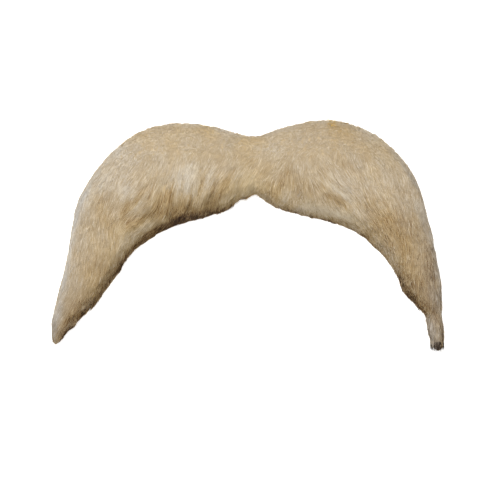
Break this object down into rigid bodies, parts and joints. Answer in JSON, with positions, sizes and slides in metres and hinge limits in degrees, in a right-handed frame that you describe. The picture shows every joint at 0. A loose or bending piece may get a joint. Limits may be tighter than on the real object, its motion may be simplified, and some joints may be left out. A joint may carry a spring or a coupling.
{
  "type": "fake moustache",
  "caption": "Blonde drooping fake moustache of long-pile fur cloth with pointed tips, a notch under the nose and adhesive tape across its back, lying pile up.",
  "frame": {"origin": "middle of the tape's back face, on the lip's surface under the middle of the nose", "axes": "+Z out of the pile and away from the lip, +Y up towards the nose, +X to the right as it is looked at"},
  "size_m": [0.1398, 0.0826, 0.013],
  "materials": {
    "pile": "combed long-pile fur, soft sheen",
    "ground_cloth": "plain knit, matte",
    "tape_liner": "waxed release paper, satin"
  },
  "bodies": {
    "root": {"fur_pile": "pile", "backing_cloth": "ground_cloth", "adhesive_tape": "tape_liner"}
  },
  "joints": []
}
